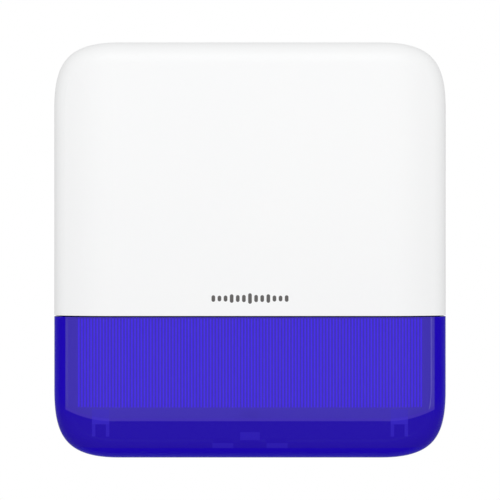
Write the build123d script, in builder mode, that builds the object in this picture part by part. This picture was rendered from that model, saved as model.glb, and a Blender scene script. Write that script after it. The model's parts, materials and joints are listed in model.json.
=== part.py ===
from build123d import *
import os

os.makedirs("parts", exist_ok=True)

# Outdoor wall-mounted alarm siren with a strobe window.
# X runs to the right, Z up, and the front faces -Y. The wall is the plane Y = 0,
# so "depth" is the distance of a feature from the wall. The origin is the centre
# of the wall-screw pattern. Sketches on Plane.XZ.offset(depth) see X and Z, and
# extrude away from the wall. Sketches on Plane.YZ see (-depth, Z).

# ---------------------------------------------------------------- overall size
WIDTH = 218.0
HEIGHT = 230.0
DEPTH = 73.0
WALL = 2.5              # moulded wall of the cover and the lens
RIM = 2.0               # gap between the wall and the rear rim of the cover

# ------------------------------------------------------------------ soft shape
CORNER = 36.7           # reach of a corner along each side of the outline
FULLNESS = 0.757        # how far a corner swells: 0 is a chamfer, 1 a square
CORNER_SHRINK = 1.356   # corner reach lost per millimetre of inset, for an even wall
CROWN_DROP = 11.0       # fall of the front surface towards each side
CROWN_REACH = 36.0      # width over which it falls
EDGE_R = 12.0           # rounding between the front and the sides

# ------------------------------------------------------- parting of the cover
PARTING_Z = -36.5
PARTING_GAP = 0.7
TONGUE = 5.0            # lens wall that laps behind the front cover
TONGUE_WALL = 1.8

LENS_SCREW_X = (-86.0, -30.0, 30.0, 86.0)
LENS_SCREW_Z = -27.0
LENS_BOSS_R = 3.1
LENS_HOLE_R = 0.9
LENS_HOLE_DEPTH = 5.4   # blind: it stops short of the cover's wall
EAR_REAR = 59.5
EAR_FRONT = 62.0
TONGUE_REAR = 26.0
REST_REAR = 60.0

# -------------------------------------------------------------- lens features
FLUTE_COUNT = 110
FLUTE_PITCH = 1.727
FLUTE_WIDTH = 0.86
FLUTE_HEIGHT = 0.8
FLUTE_TOP = -38.5
FLUTE_BOTTOM = -86.3
CLIP_X = 82.9
CLIP_WIDTH = 9.4
CLIP_LEG = 1.9
TAB_X = 14.9
TAB_WIDTH = 11.5
TAB_TOP = -107.2

# ------------------------------------------------------------------- rear base
BASE_HALF_WIDTH = 104.0
BASE_TOP = 105.0
BASE_BOTTOM = -109.0
BASE_CORNER = 30.0
BASE_DEPTH = 22.0
BASE_FLOOR = 3.0
BASE_WALL = 2.2

# ----------------------------------------------------------------- cover hinge
HINGE_X = 62.0
HINGE_Z = 110.3
HINGE_DEPTH = 8.2
HINGE_PIN_R = 1.2
HINGE_FIT = 0.06
HOOK_WIDTH = 8.0
HOOK_R = 2.7
CHEEK_GAP = 1.0
CHEEK_THICK = 2.5
CHEEK_R = 1.9

# ------------------------------------------------------------------ wall fixing
WALL_HOLE_X = 80.0
WALL_HOLE_Z = 99.0
WALL_HOLE_R = 2.3
CABLE_Z = -60.0
CABLE_HOLE_R = 7.0

# --------------------------------------------------------------- inner chassis
CHASSIS_SHIFT = -1.0
CHASSIS_HALF_WIDTH = 101.4
CHASSIS_TOP = 88.0
CHASSIS_BOTTOM = -95.2
CHASSIS_KNEE_X = 78.0   # where the flat bottom edge starts to sweep up
CHASSIS_KNEE_Z = -88.8
CHASSIS_REAR = 22.8     # rear rim, resting on the seal
CHASSIS_LOW_FRONT = 46.0
CHASSIS_HIGH_FRONT = 56.0
CHASSIS_WALL = 2.0
LEDGE_Z = -33.0         # step between the reflector and the upper chassis
WELL_R = 4.6
WELL_FLOOR = 26.0
WELL_SPOTS = [(-90.0, 74.0), (88.0, 74.0), (-14.0, -18.0), (14.0, -18.0)]

# ------------------------------------------------------------------------ horn
HORN_Z = 46.0
HORN_MOUTH_R = 38.0
HORN_FLANGE_R = 41.5
HORN_THROAT_R = 11.0
HORN_REAR = 30.0
HORN_WALL = 1.8
HORN_SCREW_R = 39.9
DRIVER_R = 27.0
DRIVER_THICK = 9.0

# -------------------------------------------------------------------- batteries
CELL_R = 8.4
CELL_LENGTH = 34.2
CELL_PITCH = 17.3
CELL_COUNT = 4
HOLDER_X = -62.0
HOLDER_Z = -9.5
HOLDER_WIDTH = 72.0
HOLDER_HEIGHT = 41.0
HOLDER_REAR = 36.0
HOLDER_WALL = 1.4
CONTACT_THICK = 0.4

# --------------------------------------------------------------- circuit board
BOARD_X = 61.0
BOARD_Z = -9.5
BOARD_WIDTH = 74.0
BOARD_HEIGHT = 43.0
BOARD_REAR = 44.0
BOARD_THICK = 1.6
BOARD_FACE = BOARD_REAR + BOARD_THICK
BOARD_SCREW_X = 33.0
BOARD_SCREW_Z = 17.5

# ------------------------------------------------------------- tamper switches
WALL_TAMPER = (78.0, 40.0)
WALL_TAMPER_R = 3.0
WALL_TAMPER_TRAVEL = 2.5
COVER_TAMPER = (62.0, 24.0)
COVER_TAMPER_R = 1.7
COVER_TAMPER_TOP = 62.5

SWITCH_TRAVEL = 2.0
LED_COUNT = 8
LED_PITCH = 20.0

# ---------------------------------------------------------------- cover screw
SCREW_DEPTH = 11.0
SCREW_R = 1.95
SCREW_HEAD_R = 3.6
SCREW_HEAD = 2.2
POCKET_HALF = 6.0
POCKET_ROOF = -112.3
POCKET_TOP = -109.7


# ===================================================================== profiles
def soft_rectangle(width, height, corner):
    """A rectangle centred on the origin whose corners swell like a superellipse."""
    side = width / 2
    top = height / 2
    handle = corner * (1 - FULLNESS)
    with BuildSketch() as outline:
        with BuildLine():
            Line((0, top), (side - corner, top))
            Bezier(
                (side - corner, top), (side - handle, top),
                (side, top - handle), (side, top - corner),
            )
            Line((side, top - corner), (side, 0))
            mirror(about=Plane.YZ)
            mirror(about=Plane.XZ)
        make_face()
    return outline.sketch


def cover_outline(inset):
    """Outline of the siren seen from the front, moved inwards by inset."""
    return soft_rectangle(WIDTH - 2 * inset, HEIGHT - 2 * inset, CORNER - CORNER_SHRINK * inset)


def crown_section(inset):
    """Level section of the siren, seen from above: flat in the middle, falling at the sides."""
    front = DEPTH - inset
    side = WIDTH / 2 + 2
    flat = side - CROWN_REACH
    middle = side - CROWN_REACH / 2
    with BuildSketch() as section:
        with BuildLine():
            Line((0, 0), (side, 0))
            Line((side, 0), (side, CROWN_DROP - front))
            Bezier((side, CROWN_DROP - front), (middle, -front), (flat, -front))
            Line((flat, -front), (0, -front))
            mirror(about=Plane.YZ)
        make_face()
    return section.sketch


def crowned_block(inset, rear):
    """Solid bounded by the outer skin moved inwards by inset, starting at depth rear."""
    with BuildPart() as block:
        with BuildSketch(Plane.XZ.offset(rear)):
            add(cover_outline(inset))
        extrude(amount=DEPTH)
        with BuildSketch(Plane.XY.offset(-HEIGHT / 2)):
            add(crown_section(inset))
        extrude(amount=HEIGHT, mode=Mode.INTERSECT)
        seams = block.edges().filter_by(Axis.Z).filter_by_position(Axis.X, 20 - WIDTH / 2, WIDTH / 2 - 20)
        front = block.edges().filter_by_position(Axis.Y, -DEPTH, CROWN_DROP + inset + 3 - DEPTH)
        fillet(front - seams, EDGE_R - inset)
    return block.part


def chassis_outline(inset, bottom, top, corner):
    """Outline of the inner chassis between two heights, with rounded top corners."""
    side = CHASSIS_HALF_WIDTH - inset
    with BuildSketch() as outline:
        with BuildLine():
            Polyline((0, bottom), (side, bottom), (side, top), (0, top))
            mirror(about=Plane.YZ)
        make_face()
        fillet(outline.vertices().group_by(Axis.Y)[-1], corner)
    return outline.sketch


def reflector_outline(inset):
    """Front of the chassis behind the lens: straight sides and an upswept lower edge."""
    side = CHASSIS_HALF_WIDTH - inset
    bottom = CHASSIS_BOTTOM + inset
    with BuildSketch() as outline:
        with BuildLine():
            Line((0, LEDGE_Z), (side, LEDGE_Z))
            Line((side, LEDGE_Z), (side, CHASSIS_KNEE_Z + inset))
            Line((0, bottom), (CHASSIS_KNEE_X, bottom))
            TangentArc((CHASSIS_KNEE_X, bottom), (side, CHASSIS_KNEE_Z + inset), tangent=(1, 0))
            mirror(about=Plane.YZ)
        make_face()
    return outline.sketch


# ================================================================= rear housing
base_middle = (BASE_TOP + BASE_BOTTOM) / 2
base_height = BASE_TOP - BASE_BOTTOM
inner_width = 2 * (BASE_HALF_WIDTH - BASE_WALL)

with BuildPart() as rear_base:
    with BuildSketch(Plane.XZ):
        with Locations((0, base_middle)):
            add(soft_rectangle(2 * BASE_HALF_WIDTH, base_height, BASE_CORNER))
    extrude(amount=BASE_DEPTH)
    inner_corner = BASE_CORNER - CORNER_SHRINK * BASE_WALL
    with BuildSketch(Plane.XZ.offset(BASE_FLOOR)):
        with Locations((0, base_middle)):
            add(soft_rectangle(inner_width, base_height - 2 * BASE_WALL, inner_corner))
    extrude(amount=BASE_DEPTH, mode=Mode.SUBTRACT)
    # sealing walls under the lower and upper edges of the chassis
    with BuildSketch(Plane.XZ.offset(BASE_FLOOR)):
        with Locations((0, CHASSIS_BOTTOM + 2), (0, CHASSIS_TOP - 1.5)):
            Rectangle(inner_width - 4, BASE_WALL)
    extrude(amount=BASE_DEPTH - BASE_FLOOR)
    # posts for the chassis screws
    with BuildSketch(Plane.XZ.offset(BASE_FLOOR)):
        with Locations(*WELL_SPOTS):
            Circle(4.0)
            Circle(1.1, mode=Mode.SUBTRACT)
    extrude(amount=WELL_FLOOR - 2.4 - BASE_FLOOR)
    # ribs that stiffen the floor
    with BuildSketch(Plane.XZ.offset(BASE_FLOOR)):
        with Locations((-40, 0), (40, 0)):
            Rectangle(1.6, 150)
        with Locations((0, -40), (0, -78)):
            Rectangle(150, 1.6)
    extrude(amount=3.0)
    # wall-screw holes with a raised seat round each
    with BuildSketch(Plane.XZ.offset(BASE_FLOOR)):
        with GridLocations(2 * WALL_HOLE_X, 2 * WALL_HOLE_Z, 2, 2):
            Circle(3.2)
    extrude(amount=0.8)
    with BuildSketch(Plane.XZ):
        with GridLocations(2 * WALL_HOLE_X, 2 * WALL_HOLE_Z, 2, 2):
            Circle(WALL_HOLE_R)
        with Locations((0, CABLE_Z)):
            Circle(CABLE_HOLE_R)
        with Locations(WALL_TAMPER):
            Circle(WALL_TAMPER_R + 0.1)
    extrude(amount=BASE_FLOOR + 6, mode=Mode.SUBTRACT)
    # boss that carries the insert of the cover screw
    with BuildSketch(Plane.XY.offset(BASE_BOTTOM)):
        with Locations((0, -SCREW_DEPTH)):
            Circle(4.5)
        with Locations((0, -SCREW_DEPTH / 2)):
            Rectangle(9, SCREW_DEPTH)
    extrude(amount=10.5)
    with BuildSketch(Plane.XY.offset(BASE_BOTTOM)):
        with Locations((0, -SCREW_DEPTH)):
            Circle(2.8)
    extrude(amount=9.0, mode=Mode.SUBTRACT)
    # hinge cheeks on the top wall, with a round bar between each pair
    cheek_offset = HOOK_WIDTH / 2 + CHEEK_GAP / 2 + CHEEK_THICK / 2
    for x in (-HINGE_X, HINGE_X):
        for shift in (-cheek_offset, cheek_offset):
            with BuildSketch(Plane.YZ.offset(x + shift - CHEEK_THICK / 2)):
                with Locations((-HINGE_DEPTH, HINGE_Z)):
                    Circle(CHEEK_R)
                with Locations((-HINGE_DEPTH - 2.1, BASE_TOP - 1)):
                    Rectangle(8.0, 1.0)
                make_hull()
            extrude(amount=CHEEK_THICK)
        with BuildSketch(Plane.YZ.offset(x - cheek_offset)):
            with Locations((-HINGE_DEPTH, HINGE_Z)):
                Circle(HINGE_PIN_R)
        extrude(amount=2 * cheek_offset)
    # sounder vents along both side walls
    with BuildSketch(Plane.YZ.offset(-BASE_HALF_WIDTH - 1)):
        with Locations((-13, 30)):
            with GridLocations(1, 7, 1, 6):
                SlotOverall(11, 3.2)
    extrude(amount=2 * BASE_HALF_WIDTH + 2, mode=Mode.SUBTRACT)

rear_base.part.label = "rear_base"
export_step(rear_base.part, "parts/rear_base.step")

# rubber grommet closing the cable entry
with BuildPart() as cable_grommet:
    with BuildSketch(Plane.YZ.shift_origin((0, 0, CABLE_Z))):
        with BuildLine():
            Polyline(
                (-0.6, 0), (-0.6, 6.9), (-3.1, 6.9), (-3.1, 9.2), (-4.9, 9.2),
                (-6.6, 4.0), (-6.6, 2.4), (-2.2, 2.4), (-2.2, 0), (-0.6, 0),
            )
        make_face()
    revolve(axis=Axis((0, 0, CABLE_Z), (0, 1, 0)))
cable_grommet.part.label = "cable_grommet"
export_step(cable_grommet.part, "parts/cable_grommet.step")

# foam seal between the base and the chassis
with BuildPart() as base_seal:
    with BuildSketch(Plane.XZ.offset(BASE_DEPTH)):
        with Locations((0, (CHASSIS_TOP + CHASSIS_BOTTOM) / 2)):
            Rectangle(2 * 100.0, CHASSIS_TOP - CHASSIS_BOTTOM - 1)
            Rectangle(2 * 100.0 - 2.4, CHASSIS_TOP - CHASSIS_BOTTOM - 3.4, mode=Mode.SUBTRACT)
    extrude(amount=CHASSIS_REAR - BASE_DEPTH)
base_seal.part.label = "base_seal"
export_step(base_seal.part, "parts/base_seal.step")

# ================================================================ inner chassis
with BuildPart() as inner_chassis:
    # lower half, the white reflector behind the lens
    with BuildSketch(Plane.XZ.offset(CHASSIS_REAR)):
        with Locations((CHASSIS_SHIFT, 0)):
            add(reflector_outline(0))
    extrude(amount=CHASSIS_LOW_FRONT - CHASSIS_REAR)
    # upper half, deeper, over the horn and the batteries
    with BuildSketch(Plane.XZ.offset(CHASSIS_REAR)):
        with Locations((CHASSIS_SHIFT, 0)):
            add(chassis_outline(0, LEDGE_Z, CHASSIS_TOP, 22))
    extrude(amount=CHASSIS_HIGH_FRONT - CHASSIS_REAR)
    # hollow from behind
    with BuildSketch(Plane.XZ.offset(CHASSIS_REAR)):
        with Locations((CHASSIS_SHIFT, 0)):
            add(reflector_outline(CHASSIS_WALL))
    extrude(amount=CHASSIS_LOW_FRONT - CHASSIS_REAR - CHASSIS_WALL, mode=Mode.SUBTRACT)
    with BuildSketch(Plane.XZ.offset(CHASSIS_REAR)):
        with Locations((CHASSIS_SHIFT, 0)):
            add(chassis_outline(CHASSIS_WALL, LEDGE_Z + CHASSIS_WALL, CHASSIS_TOP - CHASSIS_WALL, 20))
    extrude(amount=CHASSIS_HIGH_FRONT - CHASSIS_REAR - CHASSIS_WALL, mode=Mode.SUBTRACT)
    with BuildSketch(Plane.XZ.offset(CHASSIS_REAR)):
        with Locations((CHASSIS_SHIFT, LEDGE_Z)):
            Rectangle(2 * (CHASSIS_HALF_WIDTH - CHASSIS_WALL), 2 * CHASSIS_WALL)
    extrude(amount=CHASSIS_LOW_FRONT - CHASSIS_REAR - CHASSIS_WALL, mode=Mode.SUBTRACT)
    # wells that let the chassis screws reach the posts of the base
    with BuildSketch(Plane.XZ.offset(WELL_FLOOR - 2)):
        with Locations(*WELL_SPOTS):
            Circle(WELL_R)
    extrude(amount=CHASSIS_HIGH_FRONT - WELL_FLOOR + 2)
    with BuildSketch(Plane.XZ.offset(WELL_FLOOR)):
        with Locations(*WELL_SPOTS):
            Circle(WELL_R - 1.2)
    extrude(amount=CHASSIS_HIGH_FRONT, mode=Mode.SUBTRACT)
    with BuildSketch(Plane.XZ.offset(WELL_FLOOR - 2)):
        with Locations(*WELL_SPOTS):
            Circle(1.7)
    extrude(amount=2, mode=Mode.SUBTRACT)
    # openings for the horn, the battery holder and the circuit board
    with BuildSketch(Plane.XZ.offset(CHASSIS_HIGH_FRONT - CHASSIS_WALL)):
        with Locations((0, HORN_Z)):
            Circle(HORN_MOUTH_R)
        with Locations((HOLDER_X, HOLDER_Z)):
            RectangleRounded(HOLDER_WIDTH + 0.6, HOLDER_HEIGHT + 0.6, 2)
        with Locations((BOARD_X, BOARD_Z)):
            RectangleRounded(BOARD_WIDTH - 4, BOARD_HEIGHT - 4, 3)
    extrude(amount=CHASSIS_WALL, mode=Mode.SUBTRACT)
    with BuildSketch(Plane.XZ.offset(CHASSIS_HIGH_FRONT - 8)):
        with Locations((0, HORN_Z)):
            with PolarLocations(HORN_SCREW_R, 3, start_angle=30):
                Circle(0.8)
    extrude(amount=8, mode=Mode.SUBTRACT)
    # standoffs of the circuit board
    with BuildSketch(Plane.XZ.offset(BOARD_FACE)):
        with Locations((BOARD_X, BOARD_Z)):
            with GridLocations(2 * BOARD_SCREW_X, 2 * BOARD_SCREW_Z, 2, 2):
                Circle(2.6)
                Circle(0.9, mode=Mode.SUBTRACT)
    extrude(amount=CHASSIS_HIGH_FRONT - CHASSIS_WALL - BOARD_FACE)
inner_chassis.part.label = "inner_chassis"
export_step(inner_chassis.part, "parts/inner_chassis.step")

# the four screws that hold the chassis to the base
with BuildPart() as chassis_screws:
    with BuildSketch(Plane.XZ.offset(WELL_FLOOR)):
        with Locations(*WELL_SPOTS):
            Circle(2.9)
    extrude(amount=2.2)
    fillet(chassis_screws.faces().sort_by(Axis.Y)[:4].edges(), 0.6)
    with BuildSketch(Plane.XZ.offset(WELL_FLOOR - 14)):
        with Locations(*WELL_SPOTS):
            Circle(1.1)
    extrude(amount=14)
    with BuildSketch(Plane.XZ.offset(WELL_FLOOR + 0.9)):
        with Locations(*WELL_SPOTS):
            Rectangle(3.4, 0.8)
            Rectangle(0.8, 3.4)
    extrude(amount=2, mode=Mode.SUBTRACT)
chassis_screws.part.label = "chassis_screws"
export_step(chassis_screws.part, "parts/chassis_screws.step")

# ========================================================================= horn
with BuildPart() as siren_horn:
    # flaring shell, revolved about the horn axis
    with BuildSketch(Plane.YZ.shift_origin((0, 0, HORN_Z))):
        with BuildLine():
            Line((-HORN_REAR, HORN_THROAT_R), (-HORN_REAR, HORN_THROAT_R + HORN_WALL))
            Bezier(
                (-HORN_REAR, HORN_THROAT_R + HORN_WALL), (-45, HORN_THROAT_R + 5),
                (-50, HORN_MOUTH_R - 12), (-CHASSIS_HIGH_FRONT, HORN_MOUTH_R - 0.3),
            )
            Polyline(
                (-CHASSIS_HIGH_FRONT, HORN_MOUTH_R - 0.3), (-CHASSIS_HIGH_FRONT, HORN_FLANGE_R),
                (-CHASSIS_HIGH_FRONT - 1.8, HORN_FLANGE_R), (-CHASSIS_HIGH_FRONT - 1.8, HORN_MOUTH_R - 2),
            )
            Bezier(
                (-CHASSIS_HIGH_FRONT - 1.8, HORN_MOUTH_R - 2), (-51.5, HORN_MOUTH_R - 14),
                (-46, HORN_THROAT_R + 2.5), (-HORN_REAR, HORN_THROAT_R),
            )
        make_face()
    revolve(axis=Axis((0, 0, HORN_Z), (0, 1, 0)))
    # screw holes in the flange
    with BuildSketch(Plane.XZ.offset(CHASSIS_HIGH_FRONT)):
        with Locations((0, HORN_Z)):
            with PolarLocations(HORN_SCREW_R, 3, start_angle=30):
                Circle(1.0)
    extrude(amount=3, mode=Mode.SUBTRACT)
siren_horn.part.label = "siren_horn"
export_step(siren_horn.part, "parts/siren_horn.step")

# phase plug held in the throat by three thin spokes
with BuildPart() as phase_plug:
    with BuildSketch(Plane.YZ.shift_origin((0, 0, HORN_Z))):
        with BuildLine():
            Line((-31, 0), (-31, 6.5))
            Bezier((-31, 6.5), (-38, 6.5), (-46, 4.5), (-50, 0))
            Line((-50, 0), (-31, 0))
        make_face()
    revolve(axis=Axis((0, 0, HORN_Z), (0, 1, 0)))
    with BuildSketch(Plane.XZ.offset(31)):
        with Locations((0, HORN_Z)):
            with PolarLocations(0, 3, start_angle=90):
                Rectangle(HORN_THROAT_R, 1.6, align=(Align.MIN, Align.CENTER))
    extrude(amount=3)
phase_plug.part.label = "phase_plug"
export_step(phase_plug.part, "parts/phase_plug.step")

# sealed piezo driver behind the throat
with BuildPart() as piezo_driver:
    with BuildSketch(Plane.XZ.offset(HORN_REAR - 0.8 - DRIVER_THICK)):
        with Locations((0, HORN_Z)):
            Circle(DRIVER_R)
    extrude(amount=DRIVER_THICK)
    fillet(piezo_driver.edges(), 1.2)
    with BuildSketch(Plane.XZ.offset(HORN_REAR - 3)):
        with Locations((0, HORN_Z)):
            Circle(HORN_THROAT_R - 1)
    extrude(amount=3, mode=Mode.SUBTRACT)
    # solder tags at the back
    with BuildSketch(Plane.XZ.offset(HORN_REAR - 4.5 - DRIVER_THICK)):
        with Locations((-4, HORN_Z - 12), (4, HORN_Z - 12)):
            Rectangle(2.4, 0.6)
    extrude(amount=4)
piezo_driver.part.label = "piezo_driver"
export_step(piezo_driver.part, "parts/piezo_driver.step")

with BuildPart() as driver_gasket:
    with BuildSketch(Plane.XZ.offset(HORN_REAR - 0.8)):
        with Locations((0, HORN_Z)):
            Circle(HORN_THROAT_R + 4)
            Circle(HORN_THROAT_R, mode=Mode.SUBTRACT)
    extrude(amount=0.8)
driver_gasket.part.label = "driver_gasket"
export_step(driver_gasket.part, "parts/driver_gasket.step")

with BuildPart() as horn_screws:
    with BuildSketch(Plane.XZ.offset(CHASSIS_HIGH_FRONT + 1.8)):
        with Locations((0, HORN_Z)):
            with PolarLocations(HORN_SCREW_R, 3, start_angle=30):
                Circle(1.5)
    extrude(amount=1.2)
    with BuildSketch(Plane.XZ.offset(CHASSIS_HIGH_FRONT - 6)):
        with Locations((0, HORN_Z)):
            with PolarLocations(HORN_SCREW_R, 3, start_angle=30):
                Circle(0.8)
    extrude(amount=7.8)
horn_screws.part.label = "horn_screws"
export_step(horn_screws.part, "parts/horn_screws.step")

# ==================================================================== batteries
holder_front = CHASSIS_HIGH_FRONT + 1.2
cell_depth = HOLDER_REAR + HOLDER_WALL + 0.5 + CELL_R
contact_top = HOLDER_Z + HOLDER_HEIGHT / 2 - HOLDER_WALL
cell_bottom = contact_top - CONTACT_THICK - CELL_LENGTH
spring_bottom = HOLDER_Z - HOLDER_HEIGHT / 2 + HOLDER_WALL
cell_spots = [HOLDER_X + (i - (CELL_COUNT - 1) / 2) * CELL_PITCH for i in range(CELL_COUNT)]

with BuildPart() as battery_holder:
    with BuildSketch(Plane.XZ.offset(HOLDER_REAR)):
        with Locations((HOLDER_X, HOLDER_Z)):
            RectangleRounded(HOLDER_WIDTH, HOLDER_HEIGHT, 1.6)
    extrude(amount=CHASSIS_HIGH_FRONT - HOLDER_REAR)
    with BuildSketch(Plane.XZ.offset(CHASSIS_HIGH_FRONT)):
        with Locations((HOLDER_X, HOLDER_Z)):
            RectangleRounded(HOLDER_WIDTH + 2.4, HOLDER_HEIGHT + 2.4, 2.4)
    extrude(amount=holder_front - CHASSIS_HIGH_FRONT)
    with BuildSketch(Plane.XZ.offset(HOLDER_REAR + HOLDER_WALL)):
        with Locations((HOLDER_X, HOLDER_Z)):
            RectangleRounded(HOLDER_WIDTH - 2 * HOLDER_WALL, HOLDER_HEIGHT - 2 * HOLDER_WALL, 0.6)
    extrude(amount=30, mode=Mode.SUBTRACT)
battery_holder.part.label = "battery_holder"
export_step(battery_holder.part, "parts/battery_holder.step")

# cylindrical lithium cells, standing side by side on their springs
for number, x in enumerate(cell_spots, start=1):
    with BuildPart() as cell:
        with BuildSketch(Plane.XY.offset(cell_bottom)):
            with Locations((x, -cell_depth)):
                Circle(CELL_R)
        extrude(amount=CELL_LENGTH - 1.2)
        fillet(cell.edges(), 0.7)
        with BuildSketch(Plane.XY.offset(cell_bottom + CELL_LENGTH - 1.2)):
            with Locations((x, -cell_depth)):
                Circle(3.1)
        extrude(amount=1.2)
    cell.part.label = f"battery_cell_{number}"
    export_step(cell.part, f"parts/battery_cell_{number}.step")

# flat plates at the upper ends of the cells
with BuildPart() as battery_contacts:
    with BuildSketch(Plane.XY.offset(contact_top - CONTACT_THICK)):
        with Locations(*[(x, -cell_depth) for x in cell_spots]):
            Rectangle(11, 12)
    extrude(amount=CONTACT_THICK)
battery_contacts.part.label = "battery_contacts"
export_step(battery_contacts.part, "parts/battery_contacts.step")

# coiled springs at the lower ends, on one base plate
with BuildPart() as battery_springs:
    with BuildSketch(Plane.XY.offset(spring_bottom)):
        with Locations(*[(x, -cell_depth) for x in cell_spots]):
            Rectangle(11, 12)
    extrude(amount=CONTACT_THICK)
    for x in cell_spots:
        with BuildLine():
            turns = Helix(pitch=0.95, height=2.6, radius=3.4, center=(x, -cell_depth, spring_bottom + 0.6))
        with BuildSketch(Plane(origin=turns @ 0, z_dir=turns % 0)):
            Circle(0.28)
        sweep(path=turns, is_frenet=True)
battery_springs.part.label = "battery_springs"
export_step(battery_springs.part, "parts/battery_springs.step")

# ================================================================ circuit board
board_left = BOARD_X - BOARD_WIDTH / 2
board_bottom = BOARD_Z - BOARD_HEIGHT / 2
switch_spot = (board_left + 64, board_bottom + 10)
enrol_spot = (board_left + 51, board_bottom + 10)
terminal_spot = (board_left + 14, board_bottom + 7)
radio_spot = (board_left + 58, board_bottom + 30)

with BuildPart() as main_pcb:
    with BuildSketch(Plane.XZ.offset(BOARD_REAR)):
        with Locations((BOARD_X, BOARD_Z)):
            RectangleRounded(BOARD_WIDTH, BOARD_HEIGHT, 1.5)
            with GridLocations(2 * BOARD_SCREW_X, 2 * BOARD_SCREW_Z, 2, 2):
                Circle(1.2, mode=Mode.SUBTRACT)
    extrude(amount=BOARD_THICK)
main_pcb.part.label = "main_pcb"
export_step(main_pcb.part, "parts/main_pcb.step")

with BuildPart() as pcb_screws:
    with BuildSketch(Plane.XZ.offset(BOARD_REAR - 1.3)):
        with Locations((BOARD_X, BOARD_Z)):
            with GridLocations(2 * BOARD_SCREW_X, 2 * BOARD_SCREW_Z, 2, 2):
                Circle(2.1)
    extrude(amount=1.3)
    with BuildSketch(Plane.XZ.offset(BOARD_REAR)):
        with Locations((BOARD_X, BOARD_Z)):
            with GridLocations(2 * BOARD_SCREW_X, 2 * BOARD_SCREW_Z, 2, 2):
                Circle(0.9)
    extrude(amount=6.5)
pcb_screws.part.label = "pcb_screws"
export_step(pcb_screws.part, "parts/pcb_screws.step")

# chips, coil and capacitors soldered to the board
with BuildPart() as pcb_components:
    with BuildSketch(Plane.XZ.offset(BOARD_FACE)):
        with Locations((board_left + 34, board_bottom + 24)):
            Rectangle(9, 9)
        with Locations((board_left + 20, board_bottom + 32)):
            Rectangle(5, 4)
        with Locations((board_left + 34, board_bottom + 12)):
            Rectangle(6.5, 5)
    extrude(amount=1.4)
    with BuildSketch(Plane.XZ.offset(BOARD_FACE)):
        with Locations((board_left + 18, board_bottom + 20)):
            RectangleRounded(7.5, 7.5, 1.6)
    extrude(amount=4.2)
    with BuildSketch(Plane.XZ.offset(BOARD_FACE)):
        with Locations((board_left + 8, board_bottom + 26), (board_left + 26, board_bottom + 14)):
            Circle(2.9)
    extrude(amount=6.5)
    with BuildSketch(Plane.XZ.offset(BOARD_FACE)):
        with Locations((board_left + 42, board_bottom + 36)):
            with GridLocations(2.6, 3.4, 5, 2):
                Rectangle(1.5, 0.9)
        with Locations((board_left + 43, board_bottom + 17)):
            with GridLocations(2.4, 3.0, 3, 3):
                Rectangle(0.9, 1.5)
    extrude(amount=0.6)
pcb_components.part.label = "pcb_components"
export_step(pcb_components.part, "parts/pcb_components.step")

# tinned shield over the radio
with BuildPart() as rf_shield:
    with BuildSketch(Plane.XZ.offset(BOARD_FACE)):
        with Locations(radio_spot):
            RectangleRounded(15, 12, 0.8)
    extrude(amount=2.6)
    with BuildSketch(Plane.XZ.offset(BOARD_FACE + 2.3)):
        with Locations(radio_spot):
            with GridLocations(3.2, 3.2, 4, 3):
                Circle(0.45)
    extrude(amount=1, mode=Mode.SUBTRACT)
rf_shield.part.label = "rf_shield"
export_step(rf_shield.part, "parts/rf_shield.step")

# coiled aerial standing on the board beside the shield
with BuildPart() as antenna:
    antenna_foot = (board_left + 47.0, -BOARD_FACE - 3.4, board_bottom + 23)
    with BuildLine():
        aerial = Helix(pitch=1.7, height=15, radius=2.2, center=antenna_foot)
    with BuildSketch(Plane(origin=aerial @ 0, z_dir=aerial % 0)):
        Circle(0.4)
    sweep(path=aerial, is_frenet=True)
    with BuildSketch(Plane.XZ.offset(BOARD_FACE)):
        with Locations(((aerial @ 0).X, antenna_foot[2])):
            Circle(0.4)
    extrude(amount=3.4)
antenna.part.label = "antenna"
export_step(antenna.part, "parts/antenna.step")

# two-pole screw terminal for a wired supply
with BuildPart() as terminal_block:
    with BuildSketch(Plane.XZ.offset(BOARD_FACE)):
        with Locations(terminal_spot):
            Rectangle(10.2, 7.6)
    extrude(amount=7.4)
    chamfer(terminal_block.edges().filter_by(Axis.X).sort_by(Axis.Y)[:2], 0.8)
    with BuildSketch(Plane.XZ.offset(BOARD_FACE + 5)):
        with Locations(terminal_spot):
            with GridLocations(5.08, 1, 2, 1):
                Circle(1.9)
    extrude(amount=4, mode=Mode.SUBTRACT)
    with BuildSketch(Plane.XY.offset(terminal_spot[1] - 3.8)):
        with Locations((terminal_spot[0], -BOARD_FACE - 2.4)):
            with GridLocations(5.08, 1, 2, 1):
                Rectangle(3.2, 2.6)
    extrude(amount=3, mode=Mode.SUBTRACT)
terminal_block.part.label = "terminal_block"
export_step(terminal_block.part, "parts/terminal_block.step")

with BuildPart() as terminal_screws:
    with BuildSketch(Plane.XZ.offset(BOARD_FACE + 5)):
        with Locations(terminal_spot):
            with GridLocations(5.08, 1, 2, 1):
                Circle(1.8)
                Rectangle(3.8, 0.6, mode=Mode.SUBTRACT)
    extrude(amount=1.2)
    with BuildSketch(Plane.XZ.offset(BOARD_FACE + 5)):
        with Locations(terminal_spot):
            with GridLocations(5.08, 1, 2, 1):
                Circle(1.8)
    extrude(amount=0.6)
terminal_screws.part.label = "terminal_screws"
export_step(terminal_screws.part, "parts/terminal_screws.step")

# power switch: a case with a slot, and the slider that stands out of it
with BuildPart() as power_switch:
    with BuildSketch(Plane.XZ.offset(BOARD_FACE)):
        with Locations(switch_spot):
            Rectangle(4.6, 10)
    extrude(amount=4.2)
    with BuildSketch(Plane.XZ.offset(BOARD_FACE + 1)):
        with Locations(switch_spot):
            Rectangle(2.6, 6.2)
    extrude(amount=4, mode=Mode.SUBTRACT)
power_switch.part.label = "power_switch"
export_step(power_switch.part, "parts/power_switch.step")

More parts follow.
